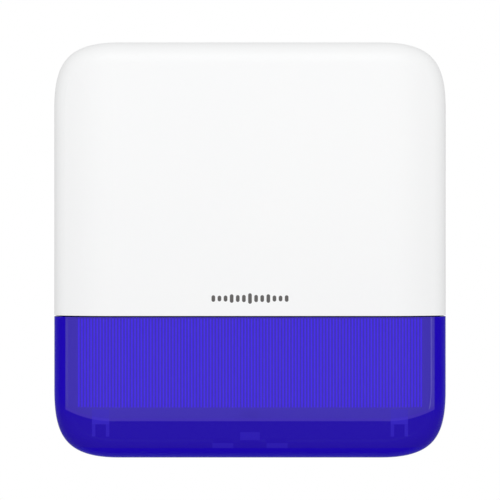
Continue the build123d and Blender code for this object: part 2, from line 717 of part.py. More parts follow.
with BuildPart() as power_slider:
    with BuildSketch(Plane.XZ.offset(BOARD_FACE + 1.1)):
        with Locations((switch_spot[0], switch_spot[1] - SWITCH_TRAVEL / 2)):
            Rectangle(2.4, 3.6)
    extrude(amount=2.6)
    with BuildSketch(Plane.XZ.offset(BOARD_FACE + 3.7)):
        with Locations((switch_spot[0], switch_spot[1] - SWITCH_TRAVEL / 2)):
            Rectangle(2.4, 2.0)
    extrude(amount=4.0)
power_slider.part.label = "power_slider"
export_step(power_slider.part, "parts/power_slider.step")

# enrol button: a tactile switch and its round cap
with BuildPart() as enrol_switch:
    with BuildSketch(Plane.XZ.offset(BOARD_FACE)):
        with Locations(enrol_spot):
            Rectangle(6.2, 6.2)
    extrude(amount=3.5)
    with BuildSketch(Plane.XZ.offset(BOARD_FACE + 2)):
        with Locations(enrol_spot):
            Circle(1.76)
    extrude(amount=4, mode=Mode.SUBTRACT)
enrol_switch.part.label = "enrol_switch"
export_step(enrol_switch.part, "parts/enrol_switch.step")

with BuildPart() as enrol_button:
    with BuildSketch(Plane.XZ.offset(BOARD_FACE + 2.6)):
        with Locations(enrol_spot):
            Circle(1.7)
    extrude(amount=4.4)
    fillet(enrol_button.faces().sort_by(Axis.Y)[0].edges(), 0.3)
enrol_button.part.label = "enrol_button"
export_step(enrol_button.part, "parts/enrol_button.step")

# ================================================================== strobe board
led_top = LEDGE_Z
led_middle_depth = (CHASSIS_LOW_FRONT + CHASSIS_HIGH_FRONT) / 2

with BuildPart() as led_board:
    with BuildSketch(Plane.XY.offset(led_top - BOARD_THICK)):
        with Locations((CHASSIS_SHIFT, -led_middle_depth)):
            Rectangle(LED_PITCH * LED_COUNT, 8)
            with GridLocations(LED_PITCH * (LED_COUNT - 1) + 14, 1, 2, 1):
                Circle(1.1, mode=Mode.SUBTRACT)
    extrude(amount=BOARD_THICK)
led_board.part.label = "led_board"
export_step(led_board.part, "parts/led_board.step")

with BuildPart() as strobe_leds:
    with BuildSketch(Plane.XY.offset(led_top - BOARD_THICK - 1.2)):
        with Locations((CHASSIS_SHIFT, -led_middle_depth)):
            with GridLocations(LED_PITCH, 1, LED_COUNT, 1):
                Rectangle(5, 5)
                Circle(1.9, mode=Mode.SUBTRACT)
    extrude(amount=1.2)
    with BuildSketch(Plane.XY.offset(led_top - BOARD_THICK - 0.7)):
        with Locations((CHASSIS_SHIFT, -led_middle_depth)):
            with GridLocations(LED_PITCH, 1, LED_COUNT, 1):
                Circle(1.95)
    extrude(amount=0.7)
strobe_leds.part.label = "strobe_leds"
export_step(strobe_leds.part, "parts/strobe_leds.step")

# ============================================================== tamper switches
# the wall tamper leans its plunger against the wall through the base
with BuildPart() as wall_tamper_case:
    with BuildSketch(Plane.XZ.offset(BASE_FLOOR)):
        with Locations(WALL_TAMPER):
            Circle(6.5)
            Circle(5.0, mode=Mode.SUBTRACT)
    extrude(amount=12)
    with BuildSketch(Plane.XZ.offset(BASE_FLOOR + 12)):
        with Locations(WALL_TAMPER):
            Circle(6.5)
    extrude(amount=1.5)
wall_tamper_case.part.label = "wall_tamper_case"
export_step(wall_tamper_case.part, "parts/wall_tamper_case.step")

with BuildPart() as wall_tamper_plunger:
    with BuildSketch(Plane.XZ):
        with Locations(WALL_TAMPER):
            Circle(WALL_TAMPER_R)
    extrude(amount=11.5)
    with BuildSketch(Plane.XZ.offset(BASE_FLOOR + WALL_TAMPER_TRAVEL + 0.5)):
        with Locations(WALL_TAMPER):
            Circle(4.8)
    extrude(amount=1.2)
    fillet(wall_tamper_plunger.faces().sort_by(Axis.Y)[-1].edges(), 0.8)
wall_tamper_plunger.part.label = "wall_tamper_plunger"
export_step(wall_tamper_plunger.part, "parts/wall_tamper_plunger.step")

with BuildPart() as wall_tamper_spring:
    spring_foot = BASE_FLOOR + WALL_TAMPER_TRAVEL + 0.5 + 1.2 + 0.35
    coil_foot = (WALL_TAMPER[0], -spring_foot, WALL_TAMPER[1])
    with BuildLine():
        tamper_coil = Helix(pitch=1.3, height=7.0, radius=4.0, center=coil_foot, direction=(0, -1, 0))
    with BuildSketch(Plane(origin=tamper_coil @ 0, z_dir=tamper_coil % 0)):
        Circle(0.3)
    sweep(path=tamper_coil, is_frenet=True)
wall_tamper_spring.part.label = "wall_tamper_spring"
export_step(wall_tamper_spring.part, "parts/wall_tamper_spring.step")

# the cover tamper is pressed by a post inside the front cover
with BuildPart() as cover_tamper_case:
    with BuildSketch(Plane.XZ.offset(CHASSIS_HIGH_FRONT)):
        with Locations(COVER_TAMPER):
            RectangleRounded(13, 8, 1)
            Circle(COVER_TAMPER_R + 0.06, mode=Mode.SUBTRACT)
    extrude(amount=3.4)
cover_tamper_case.part.label = "cover_tamper_case"
export_step(cover_tamper_case.part, "parts/cover_tamper_case.step")

with BuildPart() as cover_tamper_plunger:
    with BuildSketch(Plane.XZ.offset(CHASSIS_HIGH_FRONT + 0.3)):
        with Locations(COVER_TAMPER):
            Circle(COVER_TAMPER_R)
    extrude(amount=COVER_TAMPER_TOP - CHASSIS_HIGH_FRONT - 0.3)
    fillet(cover_tamper_plunger.faces().sort_by(Axis.Y)[0].edges(), 0.6)
cover_tamper_plunger.part.label = "cover_tamper_plunger"
export_step(cover_tamper_plunger.part, "parts/cover_tamper_plunger.step")

# ================================================================== cover screw
with BuildPart() as screw_insert:
    with BuildSketch(Plane.XY.offset(BASE_BOTTOM + 0.2)):
        with Locations((0, -SCREW_DEPTH)):
            Circle(2.8)
            Circle(SCREW_R + 0.05, mode=Mode.SUBTRACT)
    extrude(amount=6.5)
screw_insert.part.label = "screw_insert"
export_step(screw_insert.part, "parts/screw_insert.step")

with BuildPart() as cover_screw:
    with BuildSketch(Plane.XY.offset(POCKET_ROOF - SCREW_HEAD)):
        with Locations((0, -SCREW_DEPTH)):
            Circle(SCREW_HEAD_R)
    extrude(amount=SCREW_HEAD)
    fillet(cover_screw.faces().sort_by(Axis.Z)[0].edges(), 0.7)
    with BuildSketch(Plane.XY.offset(POCKET_ROOF)):
        with Locations((0, -SCREW_DEPTH)):
            Circle(SCREW_R)
    extrude(amount=10.5)
    with BuildSketch(Plane.XY.offset(POCKET_ROOF - SCREW_HEAD)):
        with Locations((0, -SCREW_DEPTH)):
            Rectangle(4.2, 0.9)
            Rectangle(0.9, 4.2)
    extrude(amount=1.3, mode=Mode.SUBTRACT)
cover_screw.part.label = "cover_screw"
export_step(cover_screw.part, "parts/cover_screw.step")

# ================================================================== front cover
def wall_middle(x):
    """Depth of the middle of the front wall at a distance x from the centre line."""
    outer = max(0.0, abs(x) - (WIDTH / 2 + 2 - CROWN_REACH)) / CROWN_REACH
    return DEPTH - WALL / 2 - CROWN_DROP * outer**2


outer_skin = crowned_block(0, RIM)
inner_skin = crowned_block(WALL, -1)

with BuildPart() as front_cover:
    add(outer_skin)
    add(inner_skin, mode=Mode.SUBTRACT)
    split(bisect_by=Plane.XY.offset(PARTING_Z + PARTING_GAP / 2), keep=Keep.TOP)
    # bosses for the lens screws, each with a blind hole
    for x in LENS_SCREW_X:
        with BuildSketch(Plane.XZ.offset(EAR_FRONT + 0.1)):
            with Locations((x, LENS_SCREW_Z)):
                Circle(LENS_BOSS_R)
        extrude(amount=wall_middle(x) - EAR_FRONT - 0.1)
        with BuildSketch(Plane.XZ.offset(EAR_FRONT + 0.1)):
            with Locations((x, LENS_SCREW_Z)):
                Circle(LENS_HOLE_R)
        extrude(amount=LENS_HOLE_DEPTH, mode=Mode.SUBTRACT)
    # post that keeps the cover tamper pressed
    with BuildSketch(Plane.XZ.offset(COVER_TAMPER_TOP + 0.3)):
        with Locations(COVER_TAMPER):
            Circle(2.6)
            Rectangle(9, 1.2)
            Rectangle(1.2, 9)
    extrude(amount=wall_middle(0) - COVER_TAMPER_TOP - 0.3)
    # stiffening ribs behind the front
    with BuildSketch(Plane.XZ.offset(DEPTH - WALL - 3)):
        with Locations((-70, 30), (0, 30), (70, 30)):
            Rectangle(1.4, 110)
        with Locations((0, 82), (0, -20)):
            Rectangle(141.4, 1.4)
    extrude(amount=3.5)
    # hinge hooks under the top wall, each open towards the wall for clipping on
    for x in (-HINGE_X, HINGE_X):
        with BuildSketch(Plane.YZ.offset(x - HOOK_WIDTH / 2)):
            with Locations((-HINGE_DEPTH, HINGE_Z)):
                Circle(HOOK_R)
            with Locations((-HINGE_DEPTH, (HINGE_Z + HEIGHT / 2 - WALL / 2) / 2)):
                Rectangle(2 * HOOK_R, HEIGHT / 2 - WALL / 2 - HINGE_Z)
        extrude(amount=HOOK_WIDTH)
        with BuildSketch(Plane.YZ.offset(x - HOOK_WIDTH / 2)):
            with Locations((-HINGE_DEPTH, HINGE_Z)):
                Circle(HINGE_PIN_R + HINGE_FIT)
            with Locations((-HINGE_DEPTH + 2, HINGE_Z - 1.6)):
                Rectangle(3.2, 2.1, rotation=-45)
        extrude(amount=HOOK_WIDTH, mode=Mode.SUBTRACT)
front_cover.part.label = "front_cover"
export_step(front_cover.part, "parts/front_cover.step")

# ================================================================== strobe lens
tongue_outer = crowned_block(WALL + PARTING_GAP, TONGUE_REAR)
tongue_inner = crowned_block(WALL + PARTING_GAP + TONGUE_WALL, TONGUE_REAR - 1)
step_outer = crowned_block(WALL / 2, TONGUE_REAR)
flute_floor = crowned_block(WALL + FLUTE_HEIGHT, 0)

# upstanding tongue that laps behind the front cover
with BuildPart() as lens_tongue:
    add(tongue_outer)
    add(tongue_inner, mode=Mode.SUBTRACT)
    split(bisect_by=Plane.XY.offset(PARTING_Z + TONGUE), keep=Keep.BOTTOM)
    split(bisect_by=Plane.XY.offset(FLUTE_TOP), keep=Keep.TOP)

# thicker band that joins the tongue to the lens wall
with BuildPart() as lens_band:
    add(step_outer)
    add(tongue_inner, mode=Mode.SUBTRACT)
    split(bisect_by=Plane.XY.offset(PARTING_Z - PARTING_GAP / 2), keep=Keep.BOTTOM)
    split(bisect_by=Plane.XY.offset(FLUTE_TOP), keep=Keep.TOP)

# upright flutes on the inner face of the lens front
with BuildPart() as lens_flutes:
    with BuildSketch(Plane.XZ.offset(CHASSIS_HIGH_FRONT)):
        with Locations((0, (FLUTE_TOP + FLUTE_BOTTOM) / 2)):
            with GridLocations(FLUTE_PITCH, 1, FLUTE_COUNT, 1):
                Rectangle(FLUTE_WIDTH, FLUTE_TOP - FLUTE_BOTTOM)
    extrude(amount=DEPTH - CHASSIS_HIGH_FRONT)
    add(inner_skin, mode=Mode.INTERSECT)
    add(flute_floor, mode=Mode.SUBTRACT)

with BuildPart() as strobe_lens:
    add(outer_skin)
    add(inner_skin, mode=Mode.SUBTRACT)
    split(bisect_by=Plane.XY.offset(PARTING_Z - PARTING_GAP / 2), keep=Keep.BOTTOM)
    add(lens_band.part)
    add(lens_tongue.part)
    add(lens_flutes.part)
    # rests on the front wall: a solid head on two legs
    for x in (-CLIP_X, CLIP_X):
        with BuildSketch(Plane.XZ.offset(REST_REAR)):
            with Locations((x, 0)):
                with BuildLine():
                    Polyline(
                        (-CLIP_WIDTH / 2, -88.3), (CLIP_WIDTH / 2, -88.3), (CLIP_WIDTH / 2, -103.9),
                        (CLIP_WIDTH / 2 - CLIP_LEG, -103.9), (CLIP_WIDTH / 2 - CLIP_LEG, -97.1),
                        (CLIP_LEG - CLIP_WIDTH / 2, -96.4), (CLIP_LEG - CLIP_WIDTH / 2, -103.9),
                        (-CLIP_WIDTH / 2, -103.9), (-CLIP_WIDTH / 2, -88.3),
                    )
                make_face()
        extrude(amount=wall_middle(x) - REST_REAR)
    # locating boss on the centre line, narrower and rounded at its lower end
    with BuildSketch(Plane.XZ.offset(REST_REAR)):
        with BuildLine():
            Polyline((-5.0, -104.6), (-5.8, -101.2), (5.8, -101.2), (5.0, -104.6))
            ThreePointArc((5.0, -104.6), (0, -106.0), (-5.0, -104.6))
        make_face()
    extrude(amount=wall_middle(0) - REST_REAR)
    # pair of snap tabs standing on the bottom wall in front of the base
    with BuildSketch(Plane.XZ.offset(BASE_DEPTH + 3)):
        with Locations((-TAB_X, 0), (TAB_X, 0)):
            with Locations((0, (TAB_TOP - HEIGHT / 2 + WALL / 2) / 2)):
                Rectangle(TAB_WIDTH, TAB_TOP + HEIGHT / 2 - WALL / 2)
    extrude(amount=2)
    # raised pocket for the head of the cover screw, open downwards and to the rear
    with BuildSketch(Plane.XY.offset(WALL / 2 - HEIGHT / 2)):
        with Locations((0, -(RIM + SCREW_DEPTH + 8) / 2)):
            Rectangle(2 * POCKET_HALF, SCREW_DEPTH + 8 - RIM)
    extrude(amount=POCKET_TOP + HEIGHT / 2 - WALL / 2)
    with BuildSketch(Plane.XY.offset(-HEIGHT / 2)):
        with Locations((0, -SCREW_DEPTH)):
            Circle(SCREW_HEAD_R + 0.5)
        with Locations((0, -SCREW_DEPTH / 2)):
            Rectangle(2 * (SCREW_HEAD_R + 0.5), SCREW_DEPTH)
    extrude(amount=POCKET_ROOF + HEIGHT / 2, mode=Mode.SUBTRACT)
    with BuildSketch(Plane.XY.offset(POCKET_ROOF)):
        with Locations((0, -SCREW_DEPTH)):
            Circle(SCREW_R + 0.4)
        with Locations((0, -SCREW_DEPTH / 2)):
            Rectangle(2 * (SCREW_R + 0.4), SCREW_DEPTH)
    extrude(amount=POCKET_TOP - POCKET_ROOF, mode=Mode.SUBTRACT)
    # drain slots in the bottom wall
    with BuildSketch(Plane.XY.offset(-HEIGHT / 2)):
        with Locations((-45, -20), (45, -20)):
            SlotOverall(9, 2.4)
    extrude(amount=WALL, mode=Mode.SUBTRACT)
    # ears that are screwed to the front cover
    for x in LENS_SCREW_X:
        with BuildSketch(Plane.XZ.offset(EAR_REAR)):
            with Locations((x, LENS_SCREW_Z - 3)):
                Rectangle(9, 13)
        extrude(amount=EAR_FRONT - EAR_REAR)
        with BuildSketch(Plane.XZ.offset(EAR_REAR)):
            with Locations((x, PARTING_Z + 2)):
                Rectangle(9, 3)
        extrude(amount=wall_middle(x) - 2.4 - EAR_REAR)
        with BuildSketch(Plane.XZ.offset(EAR_REAR)):
            with Locations((x, LENS_SCREW_Z)):
                Circle(1.4)
        extrude(amount=EAR_FRONT - EAR_REAR, mode=Mode.SUBTRACT)
strobe_lens.part.label = "strobe_lens"
export_step(strobe_lens.part, "parts/strobe_lens.step")

with BuildPart() as lens_screws:
    with BuildSketch(Plane.XZ.offset(EAR_REAR - 1.5)):
        with Locations(*[(x, LENS_SCREW_Z) for x in LENS_SCREW_X]):
            Circle(2.4)
            Rectangle(2.8, 0.7, mode=Mode.SUBTRACT)
            Rectangle(0.7, 2.8, mode=Mode.SUBTRACT)
    extrude(amount=1.5)
    with BuildSketch(Plane.XZ.offset(EAR_REAR - 0.6)):
        with Locations(*[(x, LENS_SCREW_Z) for x in LENS_SCREW_X]):
            Circle(1.9)
    extrude(amount=0.6)
    with BuildSketch(Plane.XZ.offset(EAR_REAR)):
        with Locations(*[(x, LENS_SCREW_Z) for x in LENS_SCREW_X]):
            Circle(LENS_HOLE_R)
    extrude(amount=7.5)
lens_screws.part.label = "lens_screws"
export_step(lens_screws.part, "parts/lens_screws.step")
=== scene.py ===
import json
import math

import bmesh
import bpy
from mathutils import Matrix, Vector

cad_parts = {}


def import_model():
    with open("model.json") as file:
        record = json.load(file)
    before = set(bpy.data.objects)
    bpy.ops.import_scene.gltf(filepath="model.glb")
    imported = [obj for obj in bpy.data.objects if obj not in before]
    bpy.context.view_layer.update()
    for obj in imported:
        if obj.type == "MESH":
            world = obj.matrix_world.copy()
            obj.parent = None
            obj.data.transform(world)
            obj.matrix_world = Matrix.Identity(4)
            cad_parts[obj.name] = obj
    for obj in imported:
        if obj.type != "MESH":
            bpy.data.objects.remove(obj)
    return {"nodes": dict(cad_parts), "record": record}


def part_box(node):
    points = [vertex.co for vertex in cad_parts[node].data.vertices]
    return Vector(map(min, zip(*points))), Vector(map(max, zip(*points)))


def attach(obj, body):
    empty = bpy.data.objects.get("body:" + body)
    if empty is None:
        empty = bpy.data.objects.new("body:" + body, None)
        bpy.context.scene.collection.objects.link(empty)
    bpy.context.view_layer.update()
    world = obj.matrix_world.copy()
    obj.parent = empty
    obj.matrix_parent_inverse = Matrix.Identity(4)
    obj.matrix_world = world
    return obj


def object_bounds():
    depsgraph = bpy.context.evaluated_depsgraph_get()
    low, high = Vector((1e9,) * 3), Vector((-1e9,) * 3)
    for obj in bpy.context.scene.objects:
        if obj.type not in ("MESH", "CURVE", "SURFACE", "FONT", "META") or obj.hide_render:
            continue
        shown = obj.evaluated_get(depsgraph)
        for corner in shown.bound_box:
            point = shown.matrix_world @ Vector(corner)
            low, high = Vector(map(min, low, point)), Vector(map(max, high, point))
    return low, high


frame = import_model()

# The outdoor alarm siren: CAD nodes carry their shape, this script gives them
# materials, adds the internal leads and plugs, and lights the scene. Lengths are
# in metres, except the points of the leads and plugs, which are in millimetres.

cad_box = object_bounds()
LOW, HIGH = cad_box
CENTRE = (LOW + HIGH) / 2
MM = 0.001

# ------------------------------------------------------------ places on the CAD
PARTING_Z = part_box("front_cover")[0].z
# painted shade: above this height the lens is drawn dark navy and opaque, as the shadow in the parting gap
# under the cover
SEAM_SHADE_Z = PARTING_Z - 0.7 * MM
FRONT_Y = LOW.y
WIDEST_Y = FRONT_Y + 14.0 * MM

# upright flutes inside the front of the lens, over which the lens is painted with brighter stripes as the
# light they pipe
FLUTE_PITCH = 1.727 * MM
FLUTE_HALF_SPAN = 95.0 * MM
FLUTE_TOP = PARTING_Z - 1.5 * MM
FLUTE_BOTTOM = -86.3 * MM

# clearer window in front of the reflector, more see-through and painted lighter as light from the reflector
# behind, its lower edge sweeping up at the sides
WINDOW_HALF = 101.8 * MM
WINDOW_BOTTOM = -93.8 * MM
WINDOW_KNEE = 76.0 * MM
WINDOW_SWEEP = 26.0 * MM
WINDOW_LIFT = 6.0 * MM
WINDOW_ALPHA = 0.74
WALL_ALPHA = 0.95

# paler sill under the window, on the front only
SILL_BOTTOM = -108.7 * MM
SILL_TOP = -88.0 * MM
SILL_DEPTH = 54.0 * MM

# rest posts, snap tabs and boss inside the lower front, and how much painted light each adds to the lens
# over it, as light from them seen through
REST_X = 81.9 * MM
REST_HALF = 4.8 * MM
REST_LEG = 1.9 * MM
REST_TOP = -87.2 * MM
REST_HEAD_BOTTOM = -95.6 * MM
REST_BOTTOM = -102.3 * MM
TAB_X = 14.9 * MM
TAB_HALF = 5.75 * MM
TAB_TOP = -105.9 * MM
BOSS_HALF = 5.4 * MM
BOSS_TOP = -99.8 * MM
BOSS_BOTTOM = -104.2 * MM
HEAD_PAINTED_LIGHT = 0.46
LEG_PAINTED_LIGHT = 0.34
TAB_PAINTED_LIGHT = 0.22

# printed mark: a row of level bars
MARK_Z = -26.6 * MM
MARK_PITCH = 3.35 * MM
MARK_HALF_HEIGHT = 2.9 * MM
MARK_BAR_R = 1.0 * MM
MARK_BARS = 13
MARK_RHYTHM = 2.1
MARK_FADE = 0.8
MARK_SHORTEST = 0.3

# surroundings
PICTURE_SHARE = 0.828
FLOOR_R = 0.8
FLOOR_DROP = 0.16
WORLD_LIGHT = 0.72


# ===================================================================== materials
class Nodes:
    """A short way to build a node material."""

    def __init__(self, name):
        self.material = bpy.data.materials.new(name)
        self.material.use_nodes = True
        self.tree = self.material.node_tree
        self.tree.nodes.clear()
        self.output = self.tree.nodes.new("ShaderNodeOutputMaterial")
        self.shader = self.tree.nodes.new("ShaderNodeBsdfPrincipled")
        self.link(self.shader.outputs["BSDF"], self.output.inputs["Surface"])
        self.place = self.tree.nodes.new("ShaderNodeTexCoord").outputs["Object"]

    def link(self, source, target):
        self.tree.links.new(source, target)

    def feed(self, socket, value):
        """Links a node's output to a socket, or sets a plain value on it."""
        if isinstance(value, bpy.types.NodeSocket):
            self.link(value, socket)
        else:
            socket.default_value = value

    def set(self, **values):
        for name, value in values.items():
            self.feed(self.shader.inputs[name.replace("_", " ")], value)

    def math(self, operation, a, b=0.0, c=0.0):
        node = self.tree.nodes.new("ShaderNodeMath")
        node.operation = operation
        for socket, value in zip(node.inputs, (a, b, c)):
            self.feed(socket, value)
        return node.outputs[0]

    def axes(self):
        node = self.tree.nodes.new("ShaderNodeSeparateXYZ")
        self.link(self.place, node.inputs[0])
        return node.outputs

    def noise(self, scale, detail=3.0):
        node = self.tree.nodes.new("ShaderNodeTexNoise")
        node.inputs["Scale"].default_value = scale
        node.inputs["Detail"].default_value = detail
        self.link(self.place, node.inputs["Vector"])
        return node.outputs["Fac"]

    def cells(self, scale):
        node = self.tree.nodes.new("ShaderNodeTexVoronoi")
        node.inputs["Scale"].default_value = scale
        self.link(self.place, node.inputs["Vector"])
        return node.outputs["Distance"]

    def between(self, value, low, high):
        """Maps a value from 0..1 to low..high."""
        node = self.tree.nodes.new("ShaderNodeMapRange")
        node.inputs["To Min"].default_value = low
        node.inputs["To Max"].default_value = high
        self.link(value, node.inputs["Value"])
        return node.outputs["Result"]

    def step(self, value, edge, soft):
        """0 below edge, 1 above it, with a soft rise."""
        node = self.tree.nodes.new("ShaderNodeMapRange")
        node.interpolation_type = "SMOOTHSTEP"
        node.inputs["From Min"].default_value = edge - soft
        node.inputs["From Max"].default_value = edge + soft
        self.feed(node.inputs["Value"], value)
        return node.outputs["Result"]

    def band(self, value, low, high, soft):
        """1 between low and high, 0 outside."""
        below = self.step(value, low, soft)
        above = self.math("SUBTRACT", 1.0, self.step(value, high, soft))
        return self.math("MULTIPLY", below, above)

    def mix(self, factor, a, b):
        node = self.tree.nodes.new("ShaderNodeMix")
        node.data_type = "RGBA"
        self.feed(node.inputs["Factor"], factor)
        self.feed(node.inputs["A"], a)
        self.feed(node.inputs["B"], b)
        return node.outputs["Result"]

    def bump(self, height, strength, distance=0.0002):
        node = self.tree.nodes.new("ShaderNodeBump")
        node.inputs["Strength"].default_value = strength
        node.inputs["Distance"].default_value = distance
        self.link(height, node.inputs["Height"])
        self.link(node.outputs["Normal"], self.shader.inputs["Normal"])


def rgb(red, green, blue):
    return (red, green, blue, 1.0)


def plastic(name, colour, roughness, grain=2600.0, grain_strength=0.12, spread=0.03):
    """Moulded plastic: spark-eroded grain, faint flow shading and uneven gloss."""
    nodes = Nodes(name)
    flow = nodes.noise(18.0, detail=2.0)
    darker = rgb(*[channel * (1 - spread) for channel in colour])
    nodes.set(
        Base_Color=nodes.mix(flow, darker, rgb(*colour)),
        Roughness=nodes.between(nodes.noise(90.0), roughness - 0.04, roughness + 0.05),
    )
    nodes.bump(nodes.noise(grain, detail=2.0), grain_strength, 0.00004)
    return nodes.material


def metal(name, colour, roughness):
    """Plated or turned metal with fine marks and a little tarnish."""
    nodes = Nodes(name)
    tarnish = nodes.noise(160.0, detail=4.0)
    duller = rgb(*[channel * 0.78 for channel in colour])
    nodes.set(
        Base_Color=nodes.mix(tarnish, duller, rgb(*colour)),
        Roughness=nodes.between(nodes.noise(700.0), roughness - 0.08, roughness + 0.12),
        Metallic=1.0,
    )
    nodes.bump(nodes.noise(1800.0), 0.15, 0.00003)
    return nodes.material


def housing_white():
    """White UV-stable housing with a fine satin grain and a small printed level-bar mark."""
    nodes = Nodes("housing_white")
    x, y, z = nodes.axes()
    mark = printed_mark(nodes, x, y, z)
    flow = nodes.noise(9.0, detail=2.0)
    shell = nodes.mix(flow, rgb(0.86, 0.865, 0.87), rgb(0.885, 0.887, 0.885))
    nodes.set(
        Base_Color=nodes.mix(mark, shell, rgb(0.085, 0.08, 0.078)),
        Roughness=nodes.between(nodes.noise(60.0), 0.36, 0.44),
    )
    nodes.bump(nodes.noise(2400.0, detail=2.0), 0.08, 0.00003)
    return nodes.material


def printed_mark(nodes, x, y, z):
    """A row of rounded level bars, taller in the middle, printed on the front of the cover."""
    index = nodes.math("ROUND", nodes.math("DIVIDE", x, MARK_PITCH))
    offset = nodes.math("SUBTRACT", x, nodes.math("MULTIPLY", index, MARK_PITCH))
    swing = nodes.math("COSINE", nodes.math("MULTIPLY", index, MARK_RHYTHM))
    from_middle = nodes.math("ABSOLUTE", index)
    fade = nodes.math("SUBTRACT", 1.0, nodes.math("DIVIDE", from_middle, MARK_BARS * MARK_FADE))
    height = nodes.math("MULTIPLY", fade, nodes.math("MULTIPLY_ADD", swing, 0.28, 0.72))
    share = nodes.math("MAXIMUM", height, MARK_SHORTEST)
    reach = nodes.math("MULTIPLY", share, MARK_HALF_HEIGHT - MARK_BAR_R)
    above = nodes.math("ABSOLUTE", nodes.math("SUBTRACT", z, MARK_Z))
    beyond = nodes.math("MAXIMUM", nodes.math("SUBTRACT", above, reach), 0.0)
    distance = nodes.math(
        "SQRT", nodes.math("ADD", nodes.math("POWER", offset, 2.0), nodes.math("POWER", beyond, 2.0))
    )
    bar = nodes.math("SUBTRACT", 1.0, nodes.step(distance, MARK_BAR_R, 0.06 * MM))
    inside = nodes.math("LESS_THAN", from_middle, MARK_BARS / 2)
    front = nodes.math("LESS_THAN", y, FRONT_Y + 0.6 * MM)
    return nodes.math("MULTIPLY", bar, nodes.math("MULTIPLY", inside, front))


def lens_blue():
    """Blue tinted polycarbonate: clearer over the reflector and painted lighter there as light from it,
    deeper where the wall is seen edge-on.
    """
    nodes = Nodes("lens_blue")
    x, y, z = nodes.axes()
    aside = nodes.math("ABSOLUTE", x)
    past_knee = nodes.math("SUBTRACT", aside, WINDOW_KNEE)
    sweep = nodes.math("MAXIMUM", nodes.math("DIVIDE", past_knee, WINDOW_SWEEP), 0.0)
    lift = nodes.math("MULTIPLY", nodes.math("MULTIPLY", sweep, sweep), WINDOW_LIFT)
    over = nodes.math("SUBTRACT", z, nodes.math("ADD", lift, WINDOW_BOTTOM))
    inside = nodes.math("SUBTRACT", 1.0, nodes.step(aside, WINDOW_HALF, 0.35 * MM))
    window = nodes.math("MULTIPLY", nodes.step(over, 0.0, 0.3 * MM), inside)
    seen_through = nodes.math("MULTIPLY", nodes.step(over, 1.4 * MM, 0.6 * MM), inside)
    forward = nodes.step(nodes.math("MULTIPLY", y, -1.0), SILL_DEPTH, 4.0 * MM)
    lowered = nodes.math("SUBTRACT", 1.0, nodes.step(z, SILL_TOP, 9.0 * MM))
    above_sill = nodes.step(z, SILL_BOTTOM, 0.4 * MM)
    sill = nodes.math("MULTIPLY", nodes.math("MULTIPLY", lowered, above_sill), forward)
    # Painted light: over the reflector the lens is drawn lighter, as light from the reflector behind, with a
    # darker strip along the window's border; elsewhere it is deep blue.
    deep = nodes.mix(sill, rgb(0.0135, 0.002, 0.475), rgb(0.020, 0.007, 0.40))
    haze = nodes.noise(14.0, detail=2.0)
    clear = nodes.mix(haze, rgb(0.064, 0.040, 0.53), rgb(0.068, 0.042, 0.55))
    edge = nodes.mix(seen_through, rgb(0.055, 0.030, 0.46), clear)
    tint = nodes.mix(window, deep, edge)
    # Painted light: the lens is drawn lighter over the rest posts, tabs and boss behind its lower front.
    tint = nodes.mix(rest_painted_light(nodes, x, z), tint, rgb(0.058, 0.034, 0.66))
    # Painted light: brighter blue stripes over the flutes, as the light they pipe.
    phase = nodes.math("COSINE", nodes.math("MULTIPLY_ADD", x, 2 * math.pi / FLUTE_PITCH, math.pi))
    ridge = nodes.step(phase, 0.0, 0.55)
    across = nodes.band(x, -FLUTE_HALF_SPAN, FLUTE_HALF_SPAN, 0.05 * MM)
    upright = nodes.band(z, FLUTE_BOTTOM, FLUTE_TOP, 0.6 * MM)
    flute_light = nodes.math("MULTIPLY", ridge, nodes.math("MULTIPLY", across, upright))
    tint = nodes.mix(flute_light, tint, rgb(0.076, 0.034, 1.0))
    # Painted shade: the top of the lens, in the parting gap under the cover, is drawn dark navy and opaque
    # as the shadow in the gap.
    seam_shade = nodes.step(z, SEAM_SHADE_Z, 0.05 * MM)
    nodes.set(
        Base_Color=nodes.mix(seam_shade, tint, rgb(0.006, 0.003, 0.06)),
        Roughness=nodes.between(nodes.noise(40.0), 0.12, 0.18),
        Alpha=nodes.math("MAXIMUM", seam_shade, nodes.between(seen_through, WALL_ALPHA, WINDOW_ALPHA)),
        IOR=1.45,
        Specular_IOR_Level=0.02,
    )
    return nodes.material


